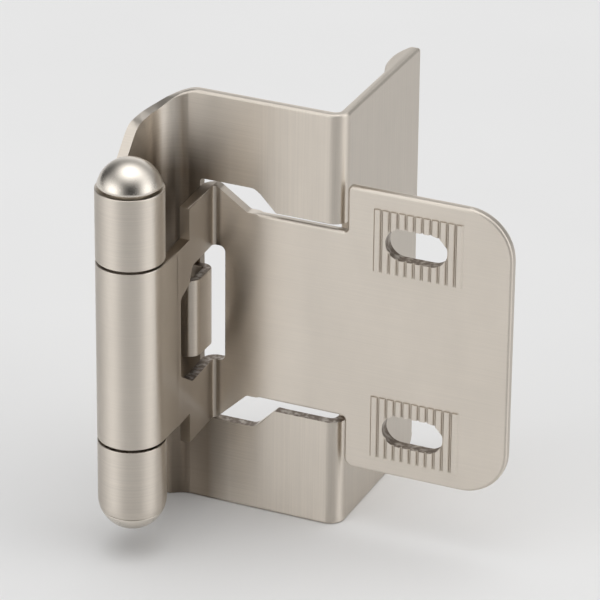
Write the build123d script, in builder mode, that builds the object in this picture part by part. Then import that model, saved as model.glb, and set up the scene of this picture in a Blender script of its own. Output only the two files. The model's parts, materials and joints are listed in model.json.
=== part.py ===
from build123d import *
import os
from math import acos, cos, degrees, pi, sin, sqrt

# Partial-wrap overlay hinge for a face-frame cabinet, modelled closed.
# Millimetres, +Z up. +X runs from the barrel along the leaves and +Y into the cabinet.
# The origin is the middle of the wing's screw holes, on the flange face that lies against the stile.
# Every profile is drawn from the pin axis, on the planes plan, front and side.

# Sheet metal and barrel
sheet = 1.3
barrel_radius = 4.25
barrel_drop = 0.23
pin_clearance = 0.05
knuckle_gap = 0.35
curl_gap = 0.3
leaf_knuckle_height = 23.75
upper_knuckle_height = 9.35
lower_knuckle_height = 9.45
rim_height = 1.5

# Domed pin head and bottom tip
head_radius = 4.0
head_height = 3.25
head_gap = 0.35
tip_gap = 0.08
plug_length = 4.0
plug_gap = 0.5
pin_chamfer = 0.4

# Wing: plate on the stile's front, flange on its edge
plate_setback = 15.5
wing_reach = 21.1
wing_height = 56.0
flange_depth = 23.8
flange_bend = 0.7
strap_bend = 3.65
barrel_relief = 0.6
far_corner_radius = 2.0

# Wing: edges falling from the plate, round the bend and down to the knuckles
shoulder_start = 2.2
shoulder_run = 8.6
shoulder_drop = 2.6
step_start = 11.7
step_run = 6.0
lower_fall_start = 4.2
lower_fall_run = 13.4
edge_lift = 0.05
edge_margin = 0.5
edge_points = 24

# Wing: thickened far end of the flange
bead_length = 8.5
bead_rise = 0.95

# Wing: stepped window that the leaf lies in
window_left = 2.0
window_wide_reach = 9.4
window_wide_height = 32.8
window_narrow_height = 27.2
window_corner_radius = 0.5
window_step_radius = 1.6
window_notch = 1.2

# Wing: countersunk holes for the stile screws
screw_setback = 9.5
screw_spacing = 19.0
screw_hole_radius = 2.1
screw_sink_radius = 2.75

# Leaf: strap along the door's edge, ears, neck and wide screw plate
leaf_reach = 43.15
leaf_height = 38.2
leaf_bend = 0.5
strap_lean = 0.5
strap_lean_radius = 20.0
leaf_corner_radius = 6.1
leaf_step_radius = 0.6
leaf_lower_step_radius = 1.2
leaf_step_clearance = 0.5
neck_height = 25.2
neck_rise = 0.38
neck_corner_radius = 0.5
upper_ear_top = 15.8
lower_ear_base = -16.2
ear_front = 8.0
ear_reach = 4.2
ear_run = 4.15
ear_corner_radius = 1.5

# Leaf: window in the strap, round the spring
leaf_window_front = 5.2
leaf_window_front_top = 4.9
leaf_window_front_base = -5.7
leaf_window_step = 8.0
leaf_window_step_top = 5.75
leaf_window_flare = 8.85
leaf_window_top = 7.8
leaf_window_base = -8.0
leaf_window_reach = 5.4
leaf_window_radius = 0.8
leaf_window_step_radius = 0.4
leaf_window_corner_radius = 0.8

# Leaf: screw slots in ribbed pads
slot_reach = 30.75
slot_spacing = 25.4
slot_length = 8.0
slot_width = 4.2
pad_shift = 0.2
pad_height = 8.3
rib_count = 11
rib_pitch = 1.07
rib_rise = 0.25
rib_foot = 1.0
rib_crest = 0.56

# Closing spring: strip nested in the wing, with its free end at the leaf's knuckle
spring_sheet = 1.1
spring_height = 10.4
spring_drop = 0.2
spring_recess = 0.2
spring_front = 9.8
spring_foot_front = 8.5
spring_bend = 1.0
spring_corner_bend = 0.8
spring_nose_reach = 0.2
spring_nose_length = 1.8
spring_nose_gap = 0.3

# Values worked out from the sizes above
bore_radius = barrel_radius - sheet
pin_radius = bore_radius - pin_clearance
leaf_knuckle_top = leaf_knuckle_height / 2 - barrel_drop
leaf_knuckle_base = leaf_knuckle_top - leaf_knuckle_height
upper_knuckle_base = leaf_knuckle_top + knuckle_gap
upper_knuckle_top = upper_knuckle_base + upper_knuckle_height
lower_knuckle_top = leaf_knuckle_base - knuckle_gap
lower_knuckle_base = lower_knuckle_top - lower_knuckle_height
rim_start = lower_knuckle_base + rim_height
rim_radius = sqrt(barrel_radius**2 - rim_height**2)
wing_top = wing_height / 2
plate_back = plate_setback + sheet
flange_inner = wing_reach - sheet
flange_end = plate_setback + flange_depth
bead_start = flange_end - bead_length
leaf_top = leaf_height / 2
neck_top = neck_rise + neck_height / 2
neck_base = neck_rise - neck_height / 2
leaf_step = wing_reach + leaf_step_clearance
curl_sweep = 180 + degrees(acos((curl_gap - bore_radius) / barrel_radius))
through = leaf_reach + flange_end

# Drawing planes through the pin axis: seen from above, from the front and from the right
pin_axis_x = -flange_inner
pin_axis_y = -(plate_setback + screw_setback)
pin_axis = Axis((pin_axis_x, pin_axis_y, 0), (0, 0, 1))
plan = Plane(origin=(pin_axis_x, pin_axis_y, 0))
front = Plane(origin=(pin_axis_x, pin_axis_y, 0), x_dir=(1, 0, 0), z_dir=(0, -1, 0))
side = Plane(origin=(pin_axis_x, pin_axis_y, 0), x_dir=(0, 1, 0), z_dir=(1, 0, 0))

# Lengths along the wing's outer face, from the shoulder's start to the strap's bend and past it
bend_centre_x = strap_bend - bore_radius
bend_centre_y = plate_setback - strap_bend
bend_start = shoulder_start - bend_centre_x
bend_end = bend_start + (strap_bend + sheet) * pi / 2


def on_sheet(run, depth, height):
    """A place at a run along the wing's outer face and a depth behind its inner face."""
    angle = (min(max(run, bend_start), bend_end) - bend_start) / (strap_bend + sheet)
    straight = max(bend_start - run, 0)
    forward = max(run - bend_end, 0)
    x = bend_centre_x + straight - (strap_bend + depth) * sin(angle)
    y = bend_centre_y - forward + (strap_bend + depth) * cos(angle)
    return (pin_axis_x + x, pin_axis_y + y, height)


def fall(run, start, length):
    """The share of a smooth fall that is done at a run."""
    share = min(max((run - start) / length, 0), 1)
    return (1 - cos(pi * share)) / 2


def upper_edge(run):
    """Height of the wing's upper edge: over the shoulder, then down a step to the knuckle's top."""
    start = wing_top + edge_lift
    shoulder = wing_top - shoulder_drop
    return (
        start
        - (start - shoulder) * fall(run, 0, shoulder_run)
        - (shoulder - upper_knuckle_top) * fall(run, step_start, step_run)
    )


def lower_edge(run):
    """Height of the wing's lower edge: one long rise to just above where the lower knuckle's rim turns in."""
    start = -wing_top - edge_lift
    return start + (rim_start + edge_margin - start) * fall(run, lower_fall_start, lower_fall_run)


# Frame wing
with BuildPart() as frame_wing:
    with BuildSketch(plan):
        with BuildLine():
            FilletPolyline(
                (wing_reach, flange_end),
                (wing_reach, plate_setback),
                (-bore_radius, plate_setback),
                (-bore_radius, 0),
                radius=[flange_bend + sheet, strap_bend],
            )
            offset(amount=sheet, side=Side.RIGHT)
        make_face()
        with BuildLine():
            ThreePointArc(
                (flange_inner, bead_start),
                (flange_inner - bead_rise, flange_end - bead_length / 2),
                (flange_inner, flange_end),
            )
            Line((flange_inner, flange_end), (flange_inner, bead_start))
        make_face()
    extrude(amount=wing_top, both=True)

    # Upper and lower edges, cut square to the sheet, then straight on to the barrel
    for edge_height, edge_end, away, outward in (
        (upper_edge, step_start + step_run, 1, Align.MIN),
        (lower_edge, lower_fall_start + lower_fall_run, -1, Align.MAX),
    ):
        runs = [edge_end * i / edge_points for i in range(edge_points + 1)]
        near_edge = Edge.make_spline([Vector(*on_sheet(r, -edge_margin, edge_height(r))) for r in runs])
        far_edge = Edge.make_spline([Vector(*on_sheet(r, sheet + edge_margin, edge_height(r))) for r in runs])
        edge_face = Face.make_surface_from_curves(near_edge, far_edge)
        extrude(edge_face, amount=wing_height, dir=(0, 0, away), mode=Mode.SUBTRACT)
        with BuildSketch(side.offset(-barrel_radius - sheet)):
            with Locations((bend_centre_y + bend_end - edge_end, edge_height(edge_end))):
                Rectangle(plate_setback, wing_height, align=(Align.MAX, outward))
        extrude(amount=3 * sheet, mode=Mode.SUBTRACT)

    # Room for the leaf's knuckle
    with BuildSketch(side.offset(-barrel_radius - sheet)):
        with Locations((barrel_radius + barrel_relief, lower_knuckle_top)):
            Rectangle(
                2 * barrel_radius + barrel_relief,
                upper_knuckle_base - lower_knuckle_top,
                align=(Align.MAX, Align.MIN),
            )
    extrude(amount=3 * sheet, mode=Mode.SUBTRACT)

    # Knuckles rolled from the strap
    for knuckle_base, knuckle_height in (
        (upper_knuckle_base, upper_knuckle_height),
        (lower_knuckle_base, lower_knuckle_height),
    ):
        with BuildSketch(plan.offset(knuckle_base)):
            with BuildLine():
                curl_outer = CenterArc((0, 0), barrel_radius, 180, curl_sweep)
                curl_inner = CenterArc((0, 0), bore_radius, 180, curl_sweep)
                Line(curl_outer @ 0, curl_inner @ 0)
                Line(curl_outer @ 1, curl_inner @ 1)
            make_face()
        extrude(amount=knuckle_height)

    # Lower knuckle's rim, the start of the barrel's ball end
    with BuildSketch(front):
        with BuildLine():
            TangentArc(
                (barrel_radius, rim_start),
                (rim_radius, lower_knuckle_base),
                tangent=(0, -1),
            )
            Polyline(
                (rim_radius, lower_knuckle_base),
                (rim_radius, lower_knuckle_base - sheet),
                (barrel_radius + edge_margin, lower_knuckle_base - sheet),
                (barrel_radius + edge_margin, rim_start),
                (barrel_radius, rim_start),
            )
        make_face()
    revolve(axis=pin_axis, mode=Mode.SUBTRACT)

    # Stepped window, run through the bend into the flange
    with BuildSketch(front.offset(-plate_back - window_notch)):
        with BuildLine():
            slope = (window_wide_height - window_narrow_height) / 2
            FilletPolyline(
                (wing_reach + sheet, 0),
                (wing_reach + sheet, window_narrow_height / 2),
                (window_wide_reach + slope, window_narrow_height / 2),
                (window_wide_reach, window_wide_height / 2),
                (window_left, window_wide_height / 2),
                (window_left, 0),
                radius=[window_corner_radius, window_corner_radius, window_step_radius, window_corner_radius],
            )
            Line((window_left, 0), (wing_reach + sheet, 0))
        make_face()
        mirror(about=Plane.XZ)
    extrude(amount=window_notch + 2 * sheet, mode=Mode.SUBTRACT)

    # Stile screws
    with Locations(Plane(origin=(sheet, 0, 0), x_dir=(0, 1, 0), z_dir=(1, 0, 0))):
        with GridLocations(0, screw_spacing, 1, 2):
            CounterSinkHole(screw_hole_radius, screw_sink_radius, depth=2 * sheet)

    # Rounded lower corner at the flange's far end
    with BuildSketch(side.offset(flange_inner - 2 * sheet)):
        with Locations((flange_end, -wing_top)):
            Rectangle(far_corner_radius, far_corner_radius, align=(Align.MAX, Align.MIN))
        with Locations((flange_end - far_corner_radius, far_corner_radius - wing_top)):
            Circle(far_corner_radius, mode=Mode.SUBTRACT)
    extrude(amount=4 * sheet, mode=Mode.SUBTRACT)
frame_wing.part.label = "frame_wing"

# Door leaf
with BuildPart() as door_leaf:
    with BuildSketch(plan):
        with BuildLine():
            FilletPolyline(
                (barrel_radius, 0),
                (barrel_radius, barrel_radius),
                (barrel_radius - strap_lean, plate_setback),
                (leaf_reach, plate_setback),
                radius=[strap_lean_radius, leaf_bend],
            )
            offset(amount=sheet, side=Side.LEFT)
        make_face()
    extrude(amount=leaf_top, both=True)

    # Outline of ears, neck and screw plate
    with BuildSketch(front):
        with BuildLine():
            FilletPolyline(
                (0, upper_ear_top),
                (ear_reach, upper_ear_top),
                (ear_reach + ear_run, neck_top),
                (leaf_step, neck_top),
                (leaf_step, leaf_top),
                (leaf_reach, leaf_top),
                (leaf_reach, -leaf_top),
                (leaf_step, -leaf_top),
                (leaf_step, neck_base),
                (ear_reach + ear_run, neck_base),
                (ear_reach, lower_ear_base),
                (0, lower_ear_base),
                radius=[
                    ear_corner_radius,
                    neck_corner_radius,
                    neck_corner_radius,
                    leaf_step_radius,
                    leaf_corner_radius,
                    leaf_corner_radius,
                    leaf_lower_step_radius,
                    neck_corner_radius,
                    neck_corner_radius,
                    ear_corner_radius,
                ],
            )
            Line((0, lower_ear_base), (0, upper_ear_top))
        make_face()
    extrude(amount=through, both=True, mode=Mode.INTERSECT)

    # Strap cut down to the knuckle's height ahead of the ears
    with BuildSketch(side):
        with Locations((ear_front, leaf_knuckle_top)):
            Rectangle(2 * ear_front, leaf_height, align=(Align.MAX, Align.MIN))
        with Locations((ear_front, leaf_knuckle_base)):
            Rectangle(2 * ear_front, leaf_height, align=(Align.MAX, Align.MAX))
    extrude(amount=2 * barrel_radius, mode=Mode.SUBTRACT)

    # Knuckle rolled from the strap
    with BuildSketch(plan.offset(leaf_knuckle_base)):
        with BuildLine():
            curl_outer = CenterArc((0, 0), barrel_radius, 0, -curl_sweep)
            curl_inner = CenterArc((0, 0), bore_radius, 0, -curl_sweep)
            Line(curl_outer @ 0, curl_inner @ 0)
            Line(curl_outer @ 1, curl_inner @ 1)
        make_face()
    extrude(amount=leaf_knuckle_height)

    # Window through the strap and round its bend
    with BuildSketch(side.offset(bore_radius - sheet)):
        with BuildLine():
            FilletPolyline(
                (plate_back + sheet, leaf_window_top),
                (leaf_window_flare, leaf_window_top),
                (leaf_window_step, leaf_window_step_top),
                (leaf_window_front, leaf_window_front_top),
                (leaf_window_front, leaf_window_front_base),
                (leaf_window_flare, leaf_window_base),
                (plate_back + sheet, leaf_window_base),
                radius=[
                    leaf_window_radius,
                    leaf_window_step_radius,
                    leaf_window_radius,
                    leaf_window_radius,
                    leaf_window_radius,
                ],
            )
            Line((plate_back + sheet, leaf_window_base), (plate_back + sheet, leaf_window_top))
        make_face()
    extrude(amount=leaf_window_reach - bore_radius + sheet, mode=Mode.SUBTRACT)
    fillet(
        door_leaf.edges()
        .filter_by(Axis.Y)
        .filter_by_position(
            Axis.X,
            pin_axis_x + leaf_window_reach - pin_clearance,
            pin_axis_x + leaf_window_reach + pin_clearance,
        ),
        radius=leaf_window_corner_radius,
    )

    # Ribbed pads and the screw slots through them
    for pad_base in (slot_spacing / 2 - pad_height / 2, -slot_spacing / 2 - pad_height / 2):
        with BuildSketch(plan.offset(pad_base)):
            with Locations((slot_reach + pad_shift, plate_setback)):
                with GridLocations(rib_pitch, 0, rib_count, 1):
                    Polygon(
                        (-rib_foot / 2, rib_rise),
                        (-rib_foot / 2, 0),
                        (-rib_crest / 2, -rib_rise),
                        (rib_crest / 2, -rib_rise),
                        (rib_foot / 2, 0),
                        (rib_foot / 2, rib_rise),
                        align=None,
                    )
        extrude(amount=pad_height)
    with BuildSketch(front.offset(-plate_setback)):
        with Locations((slot_reach, slot_spacing / 2), (slot_reach, -slot_spacing / 2)):
            SlotOverall(slot_length, slot_width)
    extrude(amount=2 * sheet, both=True, mode=Mode.SUBTRACT)
door_leaf.part.label = "door_leaf"

# Pin with its domed head
with BuildPart() as hinge_pin:
    with BuildSketch(front):
        pin_base = lower_knuckle_base + plug_length + plug_gap
        head_base = upper_knuckle_top + head_gap
        with BuildLine():
            Polyline(
                (0, head_base + head_height),
                (0, pin_base),
                (pin_radius - pin_chamfer, pin_base),
                (pin_radius, pin_base + pin_chamfer),
                (pin_radius, head_base),
                (head_radius, head_base),
            )
            TangentArc((0, head_base + head_height), (head_radius, head_base), tangent=(1, 0))
        make_face()
    revolve(axis=pin_axis)
hinge_pin.part.label = "hinge_pin"

# Button that closes the lower knuckle
with BuildPart() as bottom_tip:
    with BuildSketch(front):
        tip_base = lower_knuckle_base - tip_gap
        tip_end = rim_start - barrel_radius
        tip_radius = sqrt(barrel_radius**2 - (rim_height + tip_gap) ** 2)
        plug_top = lower_knuckle_base + plug_length
        with BuildLine():
            Polyline(
                (0, tip_end),
                (0, plug_top),
                (pin_radius - pin_chamfer, plug_top),
                (pin_radius, plug_top - pin_chamfer),
                (pin_radius, tip_base),
                (tip_radius, tip_base),
            )
            TangentArc((0, tip_end), (tip_radius, tip_base), tangent=(1, 0))
        make_face()
    revolve(axis=pin_axis)
bottom_tip.part.label = "bottom_tip"

# Spring strip: up the wing's strap, across its plate, forward in the leaf's window and in to the knuckle
with BuildPart() as closing_spring:
    with BuildSketch(plan.offset(-spring_drop)):
        half = spring_sheet / 2
        spring_back = plate_setback - half
        spring_side = barrel_radius - spring_recess - half
        spring_cross = spring_front + half
        spring_nose = barrel_radius + spring_nose_gap + half
        with BuildLine():
            FilletPolyline(
                (half - bore_radius, spring_foot_front),
                (half - bore_radius, spring_back),
                (spring_side, spring_back),
                (spring_side, spring_cross),
                (spring_nose_reach, spring_cross),
                (spring_nose_reach, spring_nose),
                (spring_nose_reach - spring_nose_length, spring_nose),
                radius=[strap_bend - half, spring_corner_bend, spring_bend, spring_bend, spring_bend],
            )
        trace(line_width=spring_sheet)
    extrude(amount=spring_height / 2, both=True)
closing_spring.part.label = "closing_spring"

os.makedirs("parts", exist_ok=True)
export_step(frame_wing.part, "parts/frame_wing.step")
export_step(door_leaf.part, "parts/door_leaf.step")
export_step(hinge_pin.part, "parts/hinge_pin.step")
export_step(bottom_tip.part, "parts/bottom_tip.step")
export_step(closing_spring.part, "parts/closing_spring.step")
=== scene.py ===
import json
import math

import bmesh
import bpy
from mathutils import Matrix, Vector


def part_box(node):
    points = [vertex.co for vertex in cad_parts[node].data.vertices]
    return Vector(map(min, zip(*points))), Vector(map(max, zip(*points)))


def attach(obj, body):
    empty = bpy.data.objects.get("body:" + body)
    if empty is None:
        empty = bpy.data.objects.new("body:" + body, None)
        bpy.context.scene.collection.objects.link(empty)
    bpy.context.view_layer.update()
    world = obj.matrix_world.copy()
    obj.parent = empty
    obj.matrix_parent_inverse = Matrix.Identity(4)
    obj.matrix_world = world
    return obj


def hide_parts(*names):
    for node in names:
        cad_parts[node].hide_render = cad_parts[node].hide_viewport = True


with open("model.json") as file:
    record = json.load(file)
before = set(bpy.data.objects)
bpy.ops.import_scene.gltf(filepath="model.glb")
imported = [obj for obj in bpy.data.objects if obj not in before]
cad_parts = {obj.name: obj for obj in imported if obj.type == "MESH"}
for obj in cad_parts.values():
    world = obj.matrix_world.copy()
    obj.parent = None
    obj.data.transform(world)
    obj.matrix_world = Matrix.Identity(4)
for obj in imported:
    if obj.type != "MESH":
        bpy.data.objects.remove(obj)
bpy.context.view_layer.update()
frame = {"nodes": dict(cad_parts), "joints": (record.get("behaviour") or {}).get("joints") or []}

# Lengths in metres, angles in degrees. Places on the part, along x, y and z, are seen from the pin axis,
# and a pair of them is a border over which something comes or goes.
MM = 0.001
PIN_AXIS = Vector(frame["joints"][0]["pos_m"])
FLOOR_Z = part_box("frame_wing")[0].z
FLOOR_HALF = 6.0

# Camera, seen from the middle of the barrel
CAMERA_AZIMUTH = 23.6
CAMERA_ELEVATION = 26.29
CAMERA_ROLL = 0.58
CAMERA_DISTANCE = 529.26 * MM
CAMERA_RIGHT = 20.41 * MM
CAMERA_UP = 5.84 * MM
CAMERA_LENS = 262.0
CAMERA_SENSOR = 36.0
CAMERA_CLIP = 0.01

# Soft patches of the studio's sky: azimuth, elevation, tightness, strength
SKY = {
    "top": (0, 90, 6, 2.5),
    "front_left": (330, 10, 10, 1.8),
    "left": (300, 10, 10, 1.0),
    "right": (90, 10, 10, 1.8),
    "right_high": (115, 42, 8, 0.8),
    "back": (180, 10, 10, 0.85),
    "back_left": (210, 10, 10, 0.7),
}

# Colours, linear
NICKEL = (0.729, 0.667, 0.590, 1.0)
# A dark colour painted in as shade, in corners and recesses
NICKEL_PAINTED_SHADE = (0.30, 0.25, 0.20, 1.0)
SHEARED = (0.22, 0.175, 0.14, 1.0)
TURNED = (0.72, 0.67, 0.60)
FLOOR = (0.82, 0.82, 0.82)

# Noise in the finishes: stretch along the axes, scale, detail
GRAIN_ACROSS = ((0.012, 0.012, 1.0), 6500.0, 2.0)
GRAIN_UPRIGHT = ((1.0, 1.0, 0.012), 5000.0, 2.0)
NICKEL_CLOUD = ((1.0, 1.0, 0.5), 260.0, 3.0)
TORN_EDGE = ((1.0, 1.0, 0.5), 1500.0, 3.0)
TURNED_RINGS = ((0.02, 0.02, 1.0), 7000.0, 2.0)
TURNED_CLOUD = ((1.0, 1.0, 1.0), 300.0, 3.0)
PAPER_CLOUD = ((1.0, 1.0, 1.0), 25.0, 2.0)
# The range of each noise that counts
GRAIN_RANGE = (0.25, 0.75)
CLOUD_RANGE = (0.3, 0.7)
TORN_RANGE = (0.45, 0.70)

# Brushed sheet: roughness, lights and darks, depth of the grain
BRUSHED_ROUGHNESS = (0.33, 0.39)
BRUSHED_TONE = (0.98, 1.02)
BRUSHED_DEPTH = 0.0006 * MM
WING_STREAKS = 0.05
LEAF_STREAKS = 0.025
STRIP_STREAKS = 0.04
# The direction in which the brushing draws out reflections: upright, a little off it for level faces
DRAWN_OUT = (0.05, 0.03, 1.0)
# Where the wing's grain turns upright, and how far
UPRIGHT_X = (8.0 * MM, 11.0 * MM)
UPRIGHT_SHARE = 0.9
# The stretch beside the leaf's bend that is lightened as a painted reflection, its rise, its lift, and how far
# it clears the painted shade
PAINTED_SHEEN_X = (5.0 * MM, 17.0 * MM)
PAINTED_SHEEN_RISE = 0.4 * MM
PAINTED_SHEEN_LIFT = 1.33
PAINTED_SHEEN_CLEAR = 0.5

# Turned pieces and studio paper
TURNED_ROUGHNESS = (0.25, 0.31)
TURNED_TONE = (0.95, 1.04)
TURNED_DEPTH = 0.0003 * MM
RING_SHARE = 0.4
PAPER_ROUGHNESS = 0.9
PAPER_GLOSS = 0.1
PAPER_TONE = (0.99, 1.01)

# Painted shade, where shade falls: close corners, by occlusion, the channel behind the barrel, the leaf's
# strap, the strip
SHADE_CORNER_REACH = 6.0 * MM
SHADE_CORNER_OPEN = (0.25, 0.70)
SHADE_CORNER_SAMPLES = 8
CHANNEL_X = (3.0 * MM, 6.0 * MM)
CHANNEL_Y = (6.0 * MM, 11.0 * MM)
CHANNEL_Z = (17.0 * MM, 24.0 * MM)
# Where painted shade darkens the leaf's strap, and how much
STRAP_X = (4.6 * MM, 5.1 * MM)
STRAP_Y = (0.5 * MM, 6.0 * MM)
STRAP_PAINTED_SHADE = 0.6
STRIP_PAINTED_SHADE = 0.45

# Edges left as sheared: the level ones in the windows, by how level they are, and the slots' walls
TORN_SHARE = 0.7
WINDOW_SOFT = 1.0 * MM
WING_WINDOW_RISE = 20.0 * MM
WING_LEVEL = (0.75, 0.9)
LEAF_WINDOW_RISE = 10.0 * MM
LEAF_WINDOW_X = (6.0 * MM, 7.5 * MM)
LEAF_LEVEL = (0.6, 0.85)
SLOT_HALF_HEIGHT = 3.0 * MM
SLOT_HEIGHT_SOFT = 0.5 * MM
SLOT_HALF_LENGTH = 5.0 * MM
SLOT_LENGTH_SOFT = 0.3 * MM
SLOT_FACING = (0.15, 0.4)

# Ribbed pads with their slots
PAD_REACH = 30.95 * MM
PAD_RISE = 12.7 * MM
PAD_HALF_WIDTH = 6.4 * MM
PAD_HALF_HEIGHT = 4.8 * MM

# Rounding of edges: full on the plates' outlines, slight on the barrel's rims
SHEET_ROUND = 0.38 * MM
SHEET_SEGMENTS = 4
SLIGHT_ROUND = 0.14 * MM
SLIGHT_SEGMENTS = 3
SHORT_EDGE = 0.30 * MM
PLATE_START = 10.0 * MM
OUTER_RISE = 20.0 * MM
BARREL_REACH = 5.0 * MM
STRAP_END = 13.5 * MM
FADE_START = -2.4 * MM
FADE_LENGTH = 2.4 * MM
# Room that a rounding needs on both sides, in widths: more on the flange, whose thick end has narrow faces
STRAP_ROOM = 1.6
FLANGE_ROOM = 2.5
FLANGE_START = 20.0 * MM

# Meshes: points to join, faces to take as one, edges to take as sharp, faces too thin to keep,
# and the area that stands in for a corner's own face where that has none
JOIN_DISTANCE = 0.002 * MM
FLAT_ANGLE = math.radians(0.5)
SHARP_ANGLE = math.radians(32)
SLIVER = 0.0005 * MM
LEAST_AREA = 1e-12


class Nodes:
    """A node tree, with short ways to add nodes and links."""

    def __init__(self, tree):
        self.tree = tree

    def add(self, kind, inputs=None, **settings):
        """A new node with its settings and its inputs, which are values or other nodes' outputs."""
        node = self.tree.nodes.new(kind)
        for key, value in settings.items():
            setattr(node, key, value)
        for key, value in (inputs or {}).items():
            self.feed(node.inputs[key], value)
        return node

    def feed(self, socket, value):
        """Links an output to a socket, or sets the socket's own value."""
        if isinstance(value, bpy.types.NodeSocket):
            self.tree.links.new(value, socket)
        else:
            socket.default_value = value

    def math(self, operation, *values):
        """The result of a math node on one to three values."""
        node = self.add("ShaderNodeMath", operation=operation)
        for socket, value in zip(node.inputs, values):
            self.feed(socket, value)
        return node.outputs[0]

    def product(self, first, *others):
        """Values multiplied together."""
        for other in others:
            first = self.math("MULTIPLY", first, other)
        return first

    def spread(self, value, low, high, to_low, to_high):
        """A value carried from one range to another, held at its ends."""
        node = self.add("ShaderNodeMapRange", {0: value, 1: low, 2: high, 3: to_low, 4: to_high})
        return node.outputs[0]

    def within(self, value, limit, soft):
        """1 where a value is nearer to 0 than a limit, falling to 0 over a soft border."""
        return self.spread(self.math("ABSOLUTE", value), limit - soft, limit + soft, 1.0, 0.0)

    def noise(self, place, stretch, scale, detail):
        """Noise in the object's own space, drawn out along the axes with a small stretch."""
        mapping = self.add("ShaderNodeMapping", {"Vector": place, "Scale": stretch})
        inputs = {"Vector": mapping.outputs[0], "Scale": scale, "Detail": detail}
        return self.add("ShaderNodeTexNoise", inputs).outputs[0]

    def blend(self, share, first, second):
        """Two values mixed by a share."""
        return self.add("ShaderNodeMix", {0: share, 2: first, 3: second}).outputs[0]

    def mix(self, share, first, second):
        """Two colours mixed by a share."""
        node = self.add("ShaderNodeMix", {0: share, 6: first, 7: second}, data_type="RGBA")
        return node.outputs[2]

    def scale(self, colour, factor):
        """A colour made lighter or darker by a factor."""
        inputs = {0: colour, "Scale": factor}
        return self.add("ShaderNodeVectorMath", inputs, operation="SCALE").outputs[0]

    def bump(self, height, depth):
        """The surface's direction, disturbed by a height."""
        inputs = {"Strength": 1.0, "Distance": depth, "Height": height}
        return self.add("ShaderNodeBump", inputs).outputs[0]


def surface(name):
    """A new material with its node tree and its shader."""
    material = bpy.data.materials.new(name)
    material.use_nodes = True
    return material, Nodes(material.node_tree), material.node_tree.nodes["Principled BSDF"]


def brushed(name, streaks, painted_shade, cuts, upright=None, painted_sheen=None):
    """Plated sheet, brushed across and, beyond a border along X, upright.

    The third argument takes the nodes and the place seen from the pin axis, and gives how far painted shade
    darkens the colour there.
    cuts takes the face's direction as well, and gives how far a point is on a sheared edge left as cut.
    The last argument is a stretch along X lightened as a painted reflection, where the painted shade is
    cleared."""
    material, n, shader = surface(name)
    place = n.add("ShaderNodeTexCoord").outputs["Object"]
    seen = n.add("ShaderNodeVectorMath", {0: place, 1: PIN_AXIS}, operation="SUBTRACT").outputs[0]
    x, y, z = n.add("ShaderNodeSeparateXYZ", {0: seen}).outputs
    direction = n.add("ShaderNodeNewGeometry").outputs["True Normal"]
    facing = n.add("ShaderNodeSeparateXYZ", {0: direction}).outputs

    grain = n.noise(place, *GRAIN_ACROSS)
    if upright:
        turned_grain = n.noise(place, *GRAIN_UPRIGHT)
        grain = n.blend(n.spread(x, *upright, 0.0, UPRIGHT_SHARE), grain, turned_grain)
    cloud = n.noise(place, *NICKEL_CLOUD)
    torn = n.spread(n.noise(place, *TORN_EDGE), *TORN_RANGE, 0.0, TORN_SHARE)

    # Painted shade: the colour darkens towards a dark shade colour in close corners, by occlusion, and where
    # the painted-shade argument says
    reach = {"Distance": SHADE_CORNER_REACH}
    corner = n.add("ShaderNodeAmbientOcclusion", reach, samples=SHADE_CORNER_SAMPLES, only_local=True)
    shade_share = n.spread(corner.outputs["AO"], *SHADE_CORNER_OPEN, 1.0, 0.0)
    shade_share = n.math("MAXIMUM", shade_share, painted_shade(n, x, y, z))
    tone = n.product(
        n.spread(grain, *GRAIN_RANGE, 1.0 - streaks, 1.0 + streaks),
        n.spread(cloud, *CLOUD_RANGE, *BRUSHED_TONE),
    )
    # Painted reflection: the stretch beside the leaf's bend is lightened, and the painted shade there is
    # cleared
    if painted_sheen:
        start = painted_sheen[0]
        rise = n.spread(x, start - PAINTED_SHEEN_RISE, start, 0.0, 1.0)
        sheen = n.product(rise, n.spread(x, *painted_sheen, 1.0, 0.0))
        tone = n.product(tone, n.spread(sheen, 0.0, 1.0, 1.0, PAINTED_SHEEN_LIFT))
        shade_share = n.product(shade_share, n.spread(sheen, 0.0, PAINTED_SHEEN_CLEAR, 1.0, 0.0))
    plated = n.scale(n.mix(shade_share, NICKEL, NICKEL_PAINTED_SHADE), tone)
    sheared = n.mix(torn, SHEARED, NICKEL)
    n.feed(shader.inputs["Base Color"], n.mix(cuts(n, x, z, facing), plated, sheared))
    n.feed(shader.inputs["Metallic"], 1.0)
    n.feed(shader.inputs["Roughness"], n.spread(grain, *GRAIN_RANGE, *BRUSHED_ROUGHNESS))
    n.feed(shader.inputs["Anisotropic"], 1.0)
    drawn_out = n.add("ShaderNodeCombineXYZ", dict(enumerate(DRAWN_OUT))).outputs[0]
    n.feed(shader.inputs["Tangent"], drawn_out)
    n.feed(shader.inputs["Normal"], n.bump(grain, BRUSHED_DEPTH))
    return material


def wing_painted_shade(n, x, y, z):
    """Painted shade in the channel behind the barrel."""
    return n.product(
        n.spread(x, *CHANNEL_X, 1.0, 0.0),
        n.spread(z, *CHANNEL_Z, 1.0, 0.0),
        n.spread(y, *CHANNEL_Y, 0.0, 1.0),
    )


def leaf_painted_shade(n, x, y, z):
    """Painted shade on the strap between the barrel and the bend."""
    return n.product(n.spread(x, *STRAP_X, 1.0, 0.0), n.spread(y, *STRAP_Y, 0.0, STRAP_PAINTED_SHADE))


def strip_painted_shade(n, x, y, z):
    """Painted shade over all of the strip, which lies inside."""
    return STRIP_PAINTED_SHADE


def wing_cuts(n, x, z, facing):
    """The level edges of the window, and of the strip."""
    level = n.spread(n.math("ABSOLUTE", facing[2]), *WING_LEVEL, 0.0, 1.0)
    return n.product(n.within(z, WING_WINDOW_RISE, WINDOW_SOFT), level)


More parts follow.
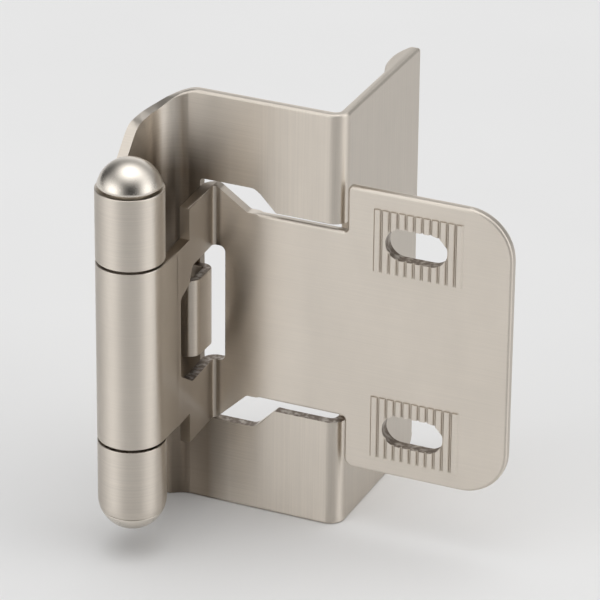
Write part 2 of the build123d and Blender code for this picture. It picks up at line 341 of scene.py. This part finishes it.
def leaf_cuts(n, x, z, facing):
    """The level edges of the strap's window, and the walls of the slots."""
    window = n.product(
        n.within(z, LEAF_WINDOW_RISE, WINDOW_SOFT),
        n.spread(x, *LEAF_WINDOW_X, 1.0, 0.0),
        n.spread(n.math("ABSOLUTE", facing[2]), *LEAF_LEVEL, 0.0, 1.0),
    )
    slot = n.product(
        n.within(n.math("SUBTRACT", n.math("ABSOLUTE", z), PAD_RISE), SLOT_HALF_HEIGHT, SLOT_HEIGHT_SOFT),
        n.within(n.math("SUBTRACT", x, PAD_REACH), SLOT_HALF_LENGTH, SLOT_LENGTH_SOFT),
        n.spread(n.math("ABSOLUTE", facing[1]), *SLOT_FACING, 1.0, 0.0),
    )
    return n.math("MAXIMUM", window, slot)


def turned(name):
    """Turned and satin plated, with fine rings round the pin."""
    material, n, shader = surface(name)
    place = n.add("ShaderNodeTexCoord").outputs["Object"]
    rings = n.noise(place, *TURNED_RINGS)
    cloud = n.noise(place, *TURNED_CLOUD)
    grain = n.math("ADD", n.product(rings, RING_SHARE), n.product(cloud, 1.0 - RING_SHARE))
    n.feed(shader.inputs["Base Color"], n.scale(TURNED, n.spread(grain, *CLOUD_RANGE, *TURNED_TONE)))
    n.feed(shader.inputs["Metallic"], 1.0)
    n.feed(shader.inputs["Roughness"], n.spread(cloud, *CLOUD_RANGE, *TURNED_ROUGHNESS))
    n.feed(shader.inputs["Normal"], n.bump(rings, TURNED_DEPTH))
    return material


def paper(name):
    """Plain pale studio paper with a trace of tooth."""
    material, n, shader = surface(name)
    place = n.add("ShaderNodeTexCoord").outputs["Object"]
    cloud = n.noise(place, *PAPER_CLOUD)
    n.feed(shader.inputs["Base Color"], n.scale(FLOOR, n.spread(cloud, *CLOUD_RANGE, *PAPER_TONE)))
    n.feed(shader.inputs["Roughness"], PAPER_ROUGHNESS)
    n.feed(shader.inputs["Specular IOR Level"], PAPER_GLOSS)
    return material


def dress(piece, material):
    """Gives a piece one material."""
    piece.data.materials.clear()
    piece.data.materials.append(material)


def soften(node):
    """Rounds a node's edges slightly: coplanar triangles are joined first, so that the bevel runs clean."""
    piece = frame["nodes"][node]
    weld = piece.modifiers.new("weld", "WELD")
    weld.merge_threshold = JOIN_DISTANCE
    flat = piece.modifiers.new("flat", "DECIMATE")
    flat.decimate_type = "DISSOLVE"
    flat.angle_limit = FLAT_ANGLE
    bevel = piece.modifiers.new("round", "BEVEL")
    bevel.width = SLIGHT_ROUND
    bevel.segments = SLIGHT_SEGMENTS
    bevel.limit_method = "ANGLE"
    bevel.angle_limit = SHARP_ANGLE
    bevel.use_clamp_overlap = True
    normals = piece.modifiers.new("normals", "WEIGHTED_NORMAL")
    normals.mode = "FACE_AREA"
    normals.weight = 100
    normals.keep_sharp = True
    for polygon in piece.data.polygons:
        polygon.use_smooth = True


def wing_round(place, length):
    """The wing's rounding: full on outer edges, fading round the strap's bend, slight on rims and window."""
    if abs(place.z) > OUTER_RISE and place.y > STRAP_END:
        return SHEET_ROUND * min(1.0, max(0.0, (place.x - FADE_START) / FADE_LENGTH))
    near = place.xy.length < BARREL_REACH or place.x > PLATE_START
    return SLIGHT_ROUND if length > SHORT_EDGE and near else 0.0


def leaf_round(place, length):
    """The leaf's rounding: full on plate and neck, slight on the knuckle's rims, none on the ribbed pads."""
    if abs(place.x - PAD_REACH) < PAD_HALF_WIDTH and abs(abs(place.z) - PAD_RISE) < PAD_HALF_HEIGHT:
        return 0.0
    if place.x > PLATE_START:
        return SHEET_ROUND
    return SLIGHT_ROUND if length > SHORT_EDGE and place.xy.length < BARREL_REACH else 0.0


def is_sharp(edge):
    """Whether two faces meet at an edge and not in a smooth bend."""
    return edge.calc_face_angle(0.0) > SHARP_ANGLE


def split_at(shape, start):
    """Divides the sharp edges that cross a place along X, so that a rounding can end there."""
    for edge in [edge for edge in shape.edges if is_sharp(edge)]:
        first, second = edge.verts
        before, after = (vertex.co.x - PIN_AXIS.x - start for vertex in (first, second))
        if before * after < 0:
            bmesh.utils.edge_split(edge, first, before / (before - after))


def outline(node, width_at):
    """A copy of a sheet's mesh, with each sharp edge's share of the full rounding."""
    shape = bmesh.new()
    shape.from_mesh(frame["nodes"][node].data)
    bmesh.ops.remove_doubles(shape, verts=shape.verts, dist=JOIN_DISTANCE)
    bmesh.ops.dissolve_limit(shape, angle_limit=FLAT_ANGLE, verts=shape.verts, edges=shape.edges)
    split_at(shape, PLATE_START)
    share = shape.edges.layers.float.new("bevel_weight_edge")
    for edge in shape.edges:
        if is_sharp(edge):
            length = edge.calc_length()
            place = (edge.verts[0].co + edge.verts[1].co) / 2 - PIN_AXIS
            width = width_at(place, length)
            room = width * (FLANGE_ROOM if place.y > FLANGE_START else STRAP_ROOM)
            roomy = all(face.calc_area() > room * length for face in edge.link_faces)
            edge[share] = width / SHEET_ROUND if roomy else 0.0
    mesh = bpy.data.meshes.new(node + "_outline")
    shape.to_mesh(mesh)
    shape.free()
    return mesh


def drop_slivers(mesh):
    """Removes faces without area that a rounding leaves where it ends."""
    shape = bmesh.new()
    shape.from_mesh(mesh)
    bmesh.ops.dissolve_degenerate(shape, dist=SLIVER, edges=shape.edges)
    shape.to_mesh(mesh)
    shape.free()


def shade(mesh):
    """Gives each corner the normal of the faces that meet there in a smooth bend, the larger faces leading."""
    smooth_bend = math.cos(SHARP_ANGLE)
    sizes = [(polygon.normal.copy(), polygon.area) for polygon in mesh.polygons]
    around = [[] for vertex in mesh.vertices]
    for polygon in mesh.polygons:
        polygon.use_smooth = True
        for vertex in polygon.vertices:
            around[vertex].append(polygon.index)
    normals = []
    for polygon in mesh.polygons:
        own = sizes[polygon.index][0]
        for vertex in polygon.vertices:
            near = [sizes[index] for index in around[vertex] if sizes[index][0].dot(own) > smooth_bend]
            normals.append(sum((normal * area for normal, area in near), own * LEAST_AREA).normalized())
    mesh.normals_split_custom_set(normals)


def rounded(node, body, width_at):
    """A sheet with its tumbled edges, in its node's place."""
    piece = bpy.data.objects.new(node + "_rounded", outline(node, width_at))
    bpy.context.scene.collection.objects.link(piece)
    bevel = piece.modifiers.new("round", "BEVEL")
    bevel.width = SHEET_ROUND
    bevel.segments = SHEET_SEGMENTS
    bevel.limit_method = "WEIGHT"
    bevel.use_clamp_overlap = False
    final = piece.evaluated_get(bpy.context.evaluated_depsgraph_get())
    piece.data = bpy.data.meshes.new_from_object(final)
    piece.modifiers.clear()
    drop_slivers(piece.data)
    shade(piece.data)
    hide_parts(node)
    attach(piece, body)
    return piece


def toward(azimuth, elevation):
    """The direction at an azimuth and elevation: azimuth 0 is the front, and 90 the right."""
    turn, rise = math.radians(azimuth), math.radians(elevation)
    return Vector((math.sin(turn) * math.cos(rise), -math.cos(turn) * math.cos(rise), math.sin(rise)))


def add_camera():
    """The camera at the photograph's viewing angle."""
    back = toward(CAMERA_AZIMUTH, CAMERA_ELEVATION)
    right = toward(CAMERA_AZIMUTH + 90, 0)
    up = back.cross(right)
    place = PIN_AXIS + right * CAMERA_RIGHT + up * CAMERA_UP + back * CAMERA_DISTANCE
    roll = math.radians(CAMERA_ROLL)
    turned_right = right * math.cos(roll) + up * math.sin(roll)
    turned_up = up * math.cos(roll) - right * math.sin(roll)
    data = bpy.data.cameras.new("camera")
    data.sensor_width = CAMERA_SENSOR
    data.lens = CAMERA_LENS
    data.clip_start = CAMERA_CLIP
    camera = bpy.data.objects.new("camera", data)
    turn = Matrix((turned_right, turned_up, back)).transposed().to_4x4()
    camera.matrix_world = Matrix.Translation(place) @ turn
    bpy.context.scene.collection.objects.link(camera)
    bpy.context.scene.camera = camera


def add_floor():
    """A wide pale floor under the wing's lower edge."""
    corners = [(x * FLOOR_HALF, y * FLOOR_HALF, 0) for x, y in ((-1, -1), (1, -1), (1, 1), (-1, 1))]
    mesh = bpy.data.meshes.new("floor")
    mesh.from_pydata(corners, [], [(0, 1, 2, 3)])
    floor = bpy.data.objects.new("floor", mesh)
    floor.location = (0.0, 0.0, FLOOR_Z)
    bpy.context.scene.collection.objects.link(floor)
    mesh.materials.append(paper("studio_floor"))


def add_light():
    """The studio's sky: smooth patches of white light, as from large soft boxes."""
    world = bpy.data.worlds.new("studio")
    world.use_nodes = True
    n = Nodes(world.node_tree)
    place = n.add("ShaderNodeTexCoord").outputs["Generated"]
    total = 0.0
    for azimuth, elevation, tightness, strength in SKY.values():
        inputs = {0: place, 1: toward(azimuth, elevation)}
        aim = n.add("ShaderNodeVectorMath", inputs, operation="DOT_PRODUCT").outputs["Value"]
        patch = n.math("POWER", n.math("MAXIMUM", aim, 0.0), float(tightness))
        total = n.math("MULTIPLY_ADD", patch, strength, total)
    background = world.node_tree.nodes["Background"]
    background.inputs["Color"].default_value = (1.0, 1.0, 1.0, 1.0)
    n.feed(background.inputs["Strength"], total)
    bpy.context.scene.world = world


wing_sheet = brushed("satin_nickel_wing", WING_STREAKS, wing_painted_shade, wing_cuts, upright=UPRIGHT_X)
leaf_sheet = brushed("satin_nickel_leaf", LEAF_STREAKS, leaf_painted_shade, leaf_cuts, painted_sheen=PAINTED_SHEEN_X)
strip = brushed("spring_strip", STRIP_STREAKS, strip_painted_shade, wing_cuts)
turned_nickel = turned("turned_nickel")
dress(rounded("frame_wing", "wing", wing_round), wing_sheet)
dress(rounded("door_leaf", "leaf", leaf_round), leaf_sheet)
for node, material in (("closing_spring", strip), ("hinge_pin", turned_nickel), ("bottom_tip", turned_nickel)):
    dress(frame["nodes"][node], material)
    soften(node)

add_floor()
add_light()
add_camera()
bpy.context.scene.view_settings.view_transform = "Standard"
